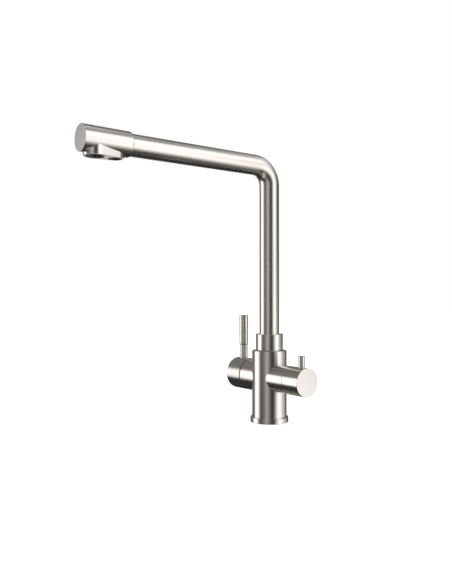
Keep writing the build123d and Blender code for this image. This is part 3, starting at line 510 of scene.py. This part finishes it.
class TAP_OT_handle_caps(TapOperator, Operator):
    """Model the two hollow caps that turn with their levers"""
    bl_idname = "tap.handle_caps"
    bl_label = "Handle caps"

    def cap(self, shape, node, along, body, lever, plug, *, wall, end_wall, hub, hub_inset, post, seat_depth,
            stud, stud_depth, screw):
        """One cap: hollow round its hub, with a post across it that takes the lever's stud and the screw."""
        lowest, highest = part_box(node)
        valves = Vector((0, 0, middle(node).z))
        start, end = sorted((abs(lowest.x), abs(highest.x)))
        radius = highest.y
        outline = [
            (start + hub_inset, 0), (start + hub_inset, hub), (end - end_wall, hub),
            (end - end_wall, radius - wall), (start, radius - wall), (start, radius, shape.seam_rim),
            (end, radius, shape.soft_rim), (end, 0)]
        cap = new_object(node + "_shell", turned_form(shape, outline, valves, along), nickel())
        across = Vector((middle(lever).x, 0, valves.z))
        reach = radius - wall / 2
        combine(cap, [cutter(shape, post, -reach, reach, across, up, nickel())], "UNION")
        lever_radius = (high(lever).x - low(lever).x) / 2
        plug_radius = (high(plug).x - low(plug).x) / 2
        seat, plug_seat, join = radius - seat_depth, valves.z - high(plug).z, 0.1 * millimetre
        combine(cap, [
            cutter(shape, lever_radius + clearance, seat, radius + overrun, across, up, nickel()),
            cutter(shape, plug_radius + clearance, plug_seat, radius + overrun, across, down, nickel()),
            cutter(shape, stud + clearance, seat - stud_depth, seat + join, across, up, bare_brass()),
            cutter(shape, screw + clearance, 0.0, plug_seat + join, across, down, bare_brass()),
        ], "DIFFERENCE")
        finish_piece(cap, body, [node])

    def execute(self, context):
        shape = context.scene.tap_shape
        mm = millimetre
        self.cap(shape, "mixer_handle_cap", to_mixer, "mixer_handle", "mixer_lever_rod", "mixer_screw_plug",
                 wall=2.7 * mm, end_wall=4.0 * mm, hub=9.0 * mm, hub_inset=6.2 * mm, post=4.6 * mm,
                 seat_depth=0.8 * mm, stud=3.0 * mm, stud_depth=10.3 * mm, screw=2.5 * mm)
        self.cap(shape, "filter_handle_cap", to_filter, "filter_handle", "filter_lever_pin",
                 "filter_screw_plug", wall=2.55 * mm, end_wall=3.5 * mm, hub=7.5 * mm, hub_inset=11.5 * mm,
                 post=3.8 * mm, seat_depth=0.6 * mm, stud=2.0 * mm, stud_depth=8.3 * mm, screw=2.0 * mm)
        return {"FINISHED"}


class TAP_OT_levers(TapOperator, Operator):
    """Model the mixer's two-part lever with its dark seam, and the filter's short pin"""
    bl_idname = "tap.levers"
    bl_label = "Levers"

    def execute(self, context):
        shape = context.scene.tap_shape
        mm = millimetre
        axis = Vector((middle("mixer_lever_rod").x, 0, 0))
        rod_low, rod_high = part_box("mixer_lever_rod")
        grip_low, grip_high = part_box("mixer_lever_grip")
        rod_radius, grip_radius = rod_high.y, grip_high.y
        seam_low, seam_high = low("lever_seam_ring").z, high("lever_seam_ring").z
        core, stud, stud_length = 3.5 * mm, 3.0 * mm, 10 * mm
        seat = rod_low.z + stud_length
        rod = turned_form(shape, [
            (rod_low.z, 0), (rod_low.z, stud, shape.soft_rim), (seat, stud), (seat, rod_radius),
            (seam_low, rod_radius, shape.fine_rim), (seam_low, core), (rod_high.z, core), (rod_high.z, 0)],
            axis, up)
        finish_piece(new_object("mixer_lever_rod_shell", rod, nickel()), "mixer_handle", ["mixer_lever_rod"])
        core_hole = core + clearance
        seam = turned_form(shape, [
            (seam_low, core_hole), (seam_high, core_hole), (seam_high, rod_radius), (seam_low, rod_radius)],
            axis, up)
        rubber = [bpy.data.materials["rubber, matt black"]] * 2
        seam_piece = finish_piece(new_object("lever_seam", seam, rubber), "mixer_handle",
                                  ["lever_seam_ring"])
        grip = turned_form(shape, [
            (rod_high.z, 0), (rod_high.z, core_hole), (seam_high, core_hole),
            (seam_high, grip_radius, shape.soft_rim), (grip_high.z, grip_radius, shape.soft_rim),
            (grip_high.z, 0)], axis, up)
        finish_piece(new_object("mixer_lever_grip_shell", grip, nickel()), "mixer_handle",
                     ["mixer_lever_grip"])

        pin_low, pin_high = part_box("filter_lever_pin")
        pin_axis = Vector((middle("filter_lever_pin").x, 0, 0))
        pin_stud, pin_stud_length = 2 * mm, 8 * mm
        pin_seat = pin_low.z + pin_stud_length
        pin = turned_form(shape, [
            (pin_low.z, 0), (pin_low.z, pin_stud, shape.soft_rim), (pin_seat, pin_stud),
            (pin_seat, pin_high.y), (pin_high.z, pin_high.y, shape.soft_rim), (pin_high.z, 0)], pin_axis, up)
        finish_piece(new_object("filter_lever_pin_shell", pin, nickel()), "filter_handle",
                     ["filter_lever_pin"])
        return {"FINISHED"}


class TAP_OT_collar(TapOperator, Operator):
    """Model the collar that the spout's tube stands in"""
    bl_idname = "tap.collar"
    bl_label = "Collar"

    def execute(self, context):
        shape = context.scene.tap_shape
        lowest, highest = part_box("spout_collar")
        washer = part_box("swivel_washer")
        washer_top, washer_outer = washer[1].z, washer[1].y + clearance
        washer_inner, ledge = 11.95 * millimetre, 3 * millimetre
        floor = low("spout_tube").z - ledge
        grip = high("spout_tube").x + clearance
        collar = turned_form(shape, [
            (washer_top, washer_outer), (washer_top, washer_inner), (lowest.z, washer_inner),
            (lowest.z, socket_radius), (floor, socket_radius), (floor, grip),
            (highest.z, grip, shape.fine_rim), (highest.z, highest.y, shape.soft_rim),
            (lowest.z, highest.y, shape.soft_rim), (lowest.z, washer_outer)], Vector(), up)
        finish_piece(new_object("spout_collar_shell", collar, nickel()), "spout", ["spout_collar"])
        return {"FINISHED"}


class TAP_OT_spout_tube(TapOperator, Operator):
    """Model the tube: straight up, round one bend and level along the arm"""
    bl_idname = "tap.spout_tube"
    bl_label = "Spout tube"

    def execute(self, context):
        shape = context.scene.tap_shape
        lowest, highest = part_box("spout_tube")
        radius, bend = highest.x, shape.bend_radius
        arm = highest.z - radius
        form = bmesh.new()
        bmesh.ops.create_circle(form, cap_ends=False, segments=shape.steps, radius=radius,
                                matrix=Matrix.Translation((0, 0, lowest.z)))
        grown = bmesh.ops.extrude_edge_only(form, edges=form.edges[:])["geom"]
        rise = [part for part in grown if isinstance(part, bmesh.types.BMVert)]
        bmesh.ops.translate(form, verts=rise, vec=up * (arm - bend - lowest.z))
        rim = [part for part in grown if isinstance(part, bmesh.types.BMEdge)
               and all(vert in rise for vert in part.verts)]
        centre = Vector((0, -bend, arm - bend))
        last = bmesh.ops.spin(form, geom=rise + rim, cent=centre, axis=to_filter, angle=pi / 2,
                              steps=shape.bend_steps)["geom_last"]
        rim = [part for part in last if isinstance(part, bmesh.types.BMEdge)]
        grown = bmesh.ops.extrude_edge_only(form, edges=rim)["geom"]
        reach = [part for part in grown if isinstance(part, bmesh.types.BMVert)]
        bmesh.ops.translate(form, verts=reach, vec=to_user * (-lowest.y - bend))
        bmesh.ops.remove_doubles(form, verts=form.verts, dist=touching)
        bmesh.ops.recalc_face_normals(form, faces=form.faces)
        layer = form.loops.layers.uv.new("brushing")
        for face in form.faces:
            start = None
            for loop in face.loops:
                point = loop.vert.co
                if point.z < arm - bend + touching:
                    along, side = point.z, -point.y
                elif point.y > -bend - touching:
                    turned = atan2(point.z - centre.z, point.y - centre.y)
                    along = arm - bend + turned * bend
                    side = bend - Vector((point.y - centre.y, point.z - centre.z)).length
                else:
                    along = arm - bend + pi / 2 * bend - point.y - bend
                    side = arm - point.z
                angle = atan2(side, point.x)
                start = angle if start is None else start
                angle = start + (angle - start + pi) % tau - pi
                loop[layer].uv = (along, angle / tau)
        tube = new_object("spout_tube_shell", form, nickel())
        wall = tube.modifiers.new("wall", "SOLIDIFY")
        wall.thickness = shape.tube_wall
        wall.offset = -1.0
        wall.use_even_offset = True
        finish_piece(tube, "spout", ["spout_tube"], smooth=30.0)
        return {"FINISHED"}


def drop_form(extra, bottom, top, steps):
    """The outlet block's outline between two heights: two round ends joined by their tangents."""
    form = bmesh.new()
    block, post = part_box("outlet_block"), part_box("filter_aerator_housing")
    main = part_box("main_aerator_housing")
    small_y, main_y = (post[0].y + post[1].y) / 2, (main[0].y + main[1].y) / 2
    main_radius, small_radius = block[1].x, 9.7 * millimetre
    nearly_flat = radians(0.2)
    for y, radius in ((main_y, main_radius), (small_y, small_radius)):
        for z in (bottom, top):
            bmesh.ops.create_circle(form, cap_ends=False, segments=steps, radius=radius + extra,
                                    matrix=Matrix.Translation((0, y, z)))
    bmesh.ops.delete(form, geom=form.edges[:], context="EDGES_FACES")
    hull = bmesh.ops.convex_hull(form, input=form.verts[:])
    bmesh.ops.delete(form, geom=list(set(hull["geom_interior"] + hull["geom_unused"])), context="VERTS")
    bmesh.ops.dissolve_limit(form, angle_limit=nearly_flat, verts=form.verts, edges=form.edges)
    bmesh.ops.recalc_face_normals(form, faces=form.faces)
    return form


class TAP_OT_spout_head(TapOperator, Operator):
    """Model the sleeve at the spout's end and the disc that closes it"""
    bl_idname = "tap.spout_head"
    bl_label = "Spout head"

    def execute(self, context):
        shape = context.scene.tap_shape
        mm = millimetre
        arm = Vector((0, 0, middle("spout_end_cap").z))
        lowest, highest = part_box("spout_head")
        rear, tip = -highest.y, -lowest.y
        tip_radius = highest.z - arm.z
        taper, wall = 0.35 * mm, 1.8 * mm
        rear_radius = tip_radius - taper
        bore, grip = tip_radius - wall, high("spout_tube").x + clearance
        tube_end = -low("spout_tube").y
        sleeve = new_object("spout_sleeve", turned_form(shape, [
            (rear, grip), (rear, rear_radius, shape.sleeve_rim), (tip, tip_radius), (tip, bore),
            (tube_end, bore), (tube_end, grip)], arm, to_user), nickel())
        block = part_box("outlet_block")
        slot = new_object("cutter", drop_form(clearance, block[0].z, high("main_aerator_washer").z,
                                              shape.steps), nickel())
        combine(sleeve, [slot], "DIFFERENCE")
        finish_piece(sleeve, "spout", ["spout_head"])
        cap_low, cap_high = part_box("spout_end_cap")
        end, inner = -cap_low.y, -cap_high.y
        cap = turned_form(shape, [
            (inner, 0), (inner, bore - clearance), (tip, bore - clearance), (tip, tip_radius),
            (end, tip_radius, shape.fine_rim), (end, 0)], arm, to_user)
        finish_piece(new_object("spout_end_disc", cap, nickel()), "spout", ["spout_end_cap"])
        return {"FINISHED"}


class TAP_OT_outlet_block(TapOperator, Operator):
    """Model the block under the spout with its two round outlets"""
    bl_idname = "tap.outlet_block"
    bl_label = "Outlet block"

    def execute(self, context):
        shape = context.scene.tap_shape
        mm = millimetre
        lowest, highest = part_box("outlet_block")
        top = high("main_aerator_washer").z
        main = Vector((0, middle("main_aerator_housing").y, 0))
        small = Vector((0, middle("filter_aerator_housing").y, 0))
        form = drop_form(0.0, lowest.z, top, shape.steps)
        rim = [edge for edge in form.edges
               if all(abs(vert.co.z - lowest.z) < touching for vert in edge.verts)]
        bmesh.ops.bevel(form, geom=rim, offset=shape.soft_rim, offset_type="OFFSET", segments=shape.rim_steps,
                        profile=0.5, affect="EDGES", clamp_overlap=True, material=-1)
        form.loops.layers.uv.new("brushing")
        for face in form.faces:
            face.material_index = 1
        block = new_object("outlet_block_shell", form, nickel())
        satin = [nickel()[1]] * 2
        main_neck, small_neck, neck_rise = 11.5 * mm, 6.5 * mm, 2 * mm
        combine(block, [
            cutter(shape, main_neck, top - overrun, top + neck_rise, main, up, satin),
            cutter(shape, small_neck, top - overrun, highest.z, small, up, satin)], "UNION")
        main_bore = high("main_aerator_housing").x + clearance
        small_bore = high("filter_aerator_housing").x + clearance
        roof = high("filter_aerator_washer").z
        washer_lip, waterway, join, neck_cut, crown = 2.6 * mm, 2.5 * mm, 0.5 * mm, 3 * mm, 6 * mm
        combine(block, [
            cutter(shape, main_bore, lowest.z - overrun, top, main, up, satin),
            cutter(shape, main_bore - washer_lip, top - join, top + neck_cut, main, up, satin),
            cutter(shape, small_bore, lowest.z - overrun, roof, small, up, satin),
            cutter(shape, waterway, roof - join, highest.z - crown, small, up, satin)], "DIFFERENCE")
        finish_piece(block, "spout", ["outlet_block"])
        return {"FINISHED"}


def mirrored_only(thing):
    """A stage piece that only mirroring surfaces see."""
    thing.visible_camera = False
    thing.visible_diffuse = False
    thing.visible_shadow = False
    thing.visible_transmission = False
    thing.visible_volume_scatter = False


def tent_material(name, rest, panels, azimuth):
    """Light from inside a tent, at a level for its plain cloth, with soft panels added to it.

    A panel is its name and level, then its middle, half width and soft edge in degrees round from the
    camera's side, and the same three upward.
    """
    material = bpy.data.materials.new(name)
    material.use_nodes = True
    tree = material.node_tree
    tree.nodes.clear()
    place = add_node(tree, "ShaderNodeTexCoord").outputs["Object"]
    turned = add_node(tree, "ShaderNodeVectorRotate", {"Vector": place, "Angle": -azimuth},
                      rotation_type="Z_AXIS")
    toward = add_node(tree, "ShaderNodeVectorMath", {0: turned.outputs[0]}, operation="NORMALIZE")
    parts = add_node(tree, "ShaderNodeSeparateXYZ", {0: toward.outputs[0]}).outputs
    angle = arithmetic(tree, "ARCTAN2", parts["X"], arithmetic(tree, "MULTIPLY", parts["Y"], -1.0))
    rise = arithmetic(tree, "ARCSINE", parts["Z"])
    level = rest
    for _, strength, side, half_side, soft_side, height, half_height, soft_height in panels:
        away = arithmetic(tree, "SUBTRACT", angle, radians(side))
        away = arithmetic(tree, "ARCCOSINE", arithmetic(tree, "COSINE", away))
        higher = arithmetic(tree, "ABSOLUTE", arithmetic(tree, "SUBTRACT", rise, radians(height)))
        inside = []
        for offset, half, soft in ((away, half_side, soft_side), (higher, half_height, soft_height)):
            edge = (radians(half - soft / 2), radians(half + soft / 2))
            inside.append(spread(tree, offset, 1.0, 0.0, *edge, "SMOOTHSTEP"))
        share_seen = arithmetic(tree, "MULTIPLY", *inside)
        level = arithmetic(tree, "ADD", level, arithmetic(tree, "MULTIPLY", share_seen, strength))
    light = add_node(tree, "ShaderNodeEmission", {"Strength": level})
    output = tree.nodes.new("ShaderNodeOutputMaterial")
    tree.links.new(light.outputs[0], output.inputs["Surface"])
    material.cycles.emission_sampling = "NONE"
    return material


def background_seen(tree):
    """1 for the rays that show the pale background, 0 for those that carry light onto the object."""
    ray = tree.nodes.new("ShaderNodeLightPath").outputs
    seen = arithmetic(tree, "MAXIMUM", ray["Is Camera Ray"], ray["Is Glossy Ray"])
    return arithmetic(tree, "MAXIMUM", seen, ray["Is Transmission Ray"])


def disc(name, radius, height, material):
    """A level round sheet."""
    form = bmesh.new()
    bmesh.ops.create_circle(form, cap_ends=True, segments=96, radius=radius,
                            matrix=Matrix.Translation((0, 0, height)))
    return new_object(name, form, [material])


class TAP_OT_studio(TapOperator, Operator):
    """Lay the floor, hang the lamps, raise the tent that the metal mirrors and set the camera"""
    bl_idname = "tap.studio"
    bl_label = "Studio and camera"

    floor_radius, floor_drop, floor_tone = 8.0, 0.0006, 0.8
    lamp_ring, lamp_aim = 1.25, Vector((0, -0.1, 0.2))
    tent_radius, tent_cloth = 4.0, 0.04
    tent_panels = (
        ("left softbox", 2.4, -90, 15, 30, 0, 20, 10),
        ("right softbox", 1.6, 65, 20, 40, 15, 35, 60),
        ("right softbox, low", 1.5, 90, 35, 45, -20, 10, 60),
        ("right softbox, high", 0.8, 70, 30, 15, 35, 15, 20),
        ("front panel", 0.8, -15, 10, 50, 20, 45, 60),
        ("overhead panel, right", 1.2, 120, 30, 25, 45, 10, 50),
        ("overhead panel, left", 0.2, -115, 85, 90, 25, 35, 30),
        ("back panel, low", 1.0, -165, 5, 10, -10, 5, 10),
        ("back panel, left", 0.35, -150, 5, 15, 0, 10, 15),
        ("ceiling", 1.0, 0, 200, 10, 90, 20, 15),
        ("pale floor in front", 0.7, -5, 50, 25, -60, 15, 15),
    )

    def floor(self, studio):
        material, tree, shader = new_material("floor, pale")
        seen = background_seen(tree)
        glow = arithmetic(tree, "MULTIPLY", seen, studio.floor_glow)
        tone = [self.floor_tone * part for part in studio.backdrop]
        shader.inputs["Base Color"].default_value = (*tone, 1.0)
        shader.inputs["Roughness"].default_value = 0.9
        shader.inputs["Specular IOR Level"].default_value = 0.0
        shader.inputs["Emission Color"].default_value = (*studio.backdrop, 1.0)
        tree.links.new(glow, shader.inputs["Emission Strength"])
        material.cycles.emission_sampling = "NONE"
        floor = disc("floor", self.floor_radius, -self.floor_drop, material)
        # Mirroring rays pass through the floor to the tent, whose dark cloth gives the metal its bands
        floor.visible_glossy = False

    def tent(self, studio):
        """The round tent that the metal mirrors: dark cloth with white panels, seen by no other ray."""
        form = bmesh.new()
        bmesh.ops.create_uvsphere(form, u_segments=96, v_segments=48, radius=self.tent_radius)
        tent = new_object("tent", form, [tent_material("tent, inside", self.tent_cloth, self.tent_panels,
                                                       studio.camera_azimuth)])
        mirrored_only(tent)

    def world(self, studio):
        world = bpy.data.worlds.new("studio")
        bpy.context.scene.world = world
        world.use_nodes = True
        tree = world.node_tree
        tree.nodes.clear()
        seen = background_seen(tree)
        level = spread(tree, seen, studio.sky_light, 1.0)
        light = add_node(tree, "ShaderNodeBackground", {"Color": (*studio.backdrop, 1.0), "Strength": level})
        output = tree.nodes.new("ShaderNodeOutputWorld")
        tree.links.new(light.outputs[0], output.inputs["Surface"])

    def lamps(self, studio):
        rows = (("left_softbox", -84, 0.45, 0.7), ("right_softbox", 73, 0.7, 0.9),
                ("top_softbox", 150, 1.2, 0.8))
        for name, degrees, height, size in rows:
            lamp = bpy.data.lights.new(name, "AREA")
            lamp.energy = studio.lamp_power
            lamp.shape = "SQUARE"
            lamp.size = size
            holder = bpy.data.objects.new(name, lamp)
            bpy.context.scene.collection.objects.link(holder)
            angle = studio.camera_azimuth + radians(degrees)
            holder.location = (self.lamp_ring * sin(angle), -self.lamp_ring * cos(angle), height)
            toward = self.lamp_aim - holder.location
            holder.rotation_euler = toward.to_track_quat("-Z", "Y").to_euler()
            holder.visible_camera = False
            holder.visible_glossy = False

    def camera(self, studio):
        azimuth, yaw = studio.camera_azimuth, studio.camera_yaw
        inward, sideways = Vector((-sin(azimuth), cos(azimuth), 0)), Vector((cos(azimuth), sin(azimuth), 0))
        forward = inward * cos(yaw) + sideways * sin(yaw)
        right = sideways * cos(yaw) - inward * sin(yaw)
        look = forward * cos(studio.camera_pitch) + up * sin(studio.camera_pitch)
        top = right.cross(look)
        lens = bpy.data.cameras.new("camera")
        lens.lens = studio.camera_lens
        lens.sensor_width = 36.0
        camera = bpy.data.objects.new("camera", lens)
        bpy.context.scene.collection.objects.link(camera)
        axes = Matrix((right, top, -look)).transposed().to_4x4()
        place = (sin(azimuth) * studio.camera_distance, -cos(azimuth) * studio.camera_distance,
                 studio.camera_height)
        camera.matrix_world = Matrix.Translation(place) @ axes
        lens.clip_start, lens.clip_end = 0.01, 50.0
        bpy.context.scene.camera = camera

    def execute(self, context):
        studio = context.scene.tap_studio
        context.scene.view_settings.view_transform = "Standard"
        self.camera(studio)
        self.world(studio)
        self.floor(studio)
        self.tent(studio)
        self.lamps(studio)
        return {"FINISHED"}


class TAP_PT_sidebar(Panel):
    """Lists the tap's operators in the 3D view's sidebar"""
    bl_label = "Kitchen tap"
    bl_idname = "TAP_PT_sidebar"
    bl_space_type = "VIEW_3D"
    bl_region_type = "UI"
    bl_category = "Tap"

    def draw(self, context):
        for operator in operators:
            self.layout.operator(operator.bl_idname)
        for group in (context.scene.tap_shape, context.scene.tap_finish, context.scene.tap_studio):
            box = self.layout.box()
            for name in group.__annotations__:
                box.prop(group, name)


groups = (TapShape, TapFinish, TapStudio)
operators = (TAP_OT_studio, TAP_OT_finishes, TAP_OT_body, TAP_OT_base_ring, TAP_OT_handle_caps, TAP_OT_levers,
             TAP_OT_collar, TAP_OT_spout_tube, TAP_OT_spout_head, TAP_OT_outlet_block)


def register():
    for item in (*groups, *operators, TAP_PT_sidebar):
        bpy.utils.register_class(item)
    bpy.types.Scene.tap_shape = PointerProperty(type=TapShape)
    bpy.types.Scene.tap_finish = PointerProperty(type=TapFinish)
    bpy.types.Scene.tap_studio = PointerProperty(type=TapStudio)


def unregister():
    del bpy.types.Scene.tap_shape, bpy.types.Scene.tap_finish, bpy.types.Scene.tap_studio
    for item in reversed((*groups, *operators, TAP_PT_sidebar)):
        bpy.utils.unregister_class(item)


def main():
    register()
    bpy.ops.tap.studio()
    bpy.ops.tap.finishes()
    bpy.ops.tap.body()
    bpy.ops.tap.base_ring()
    bpy.ops.tap.handle_caps()
    bpy.ops.tap.levers()
    bpy.ops.tap.collar()
    bpy.ops.tap.spout_tube()
    bpy.ops.tap.spout_head()
    bpy.ops.tap.outlet_block()
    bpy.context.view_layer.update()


if __name__ == "__main__":
    main()
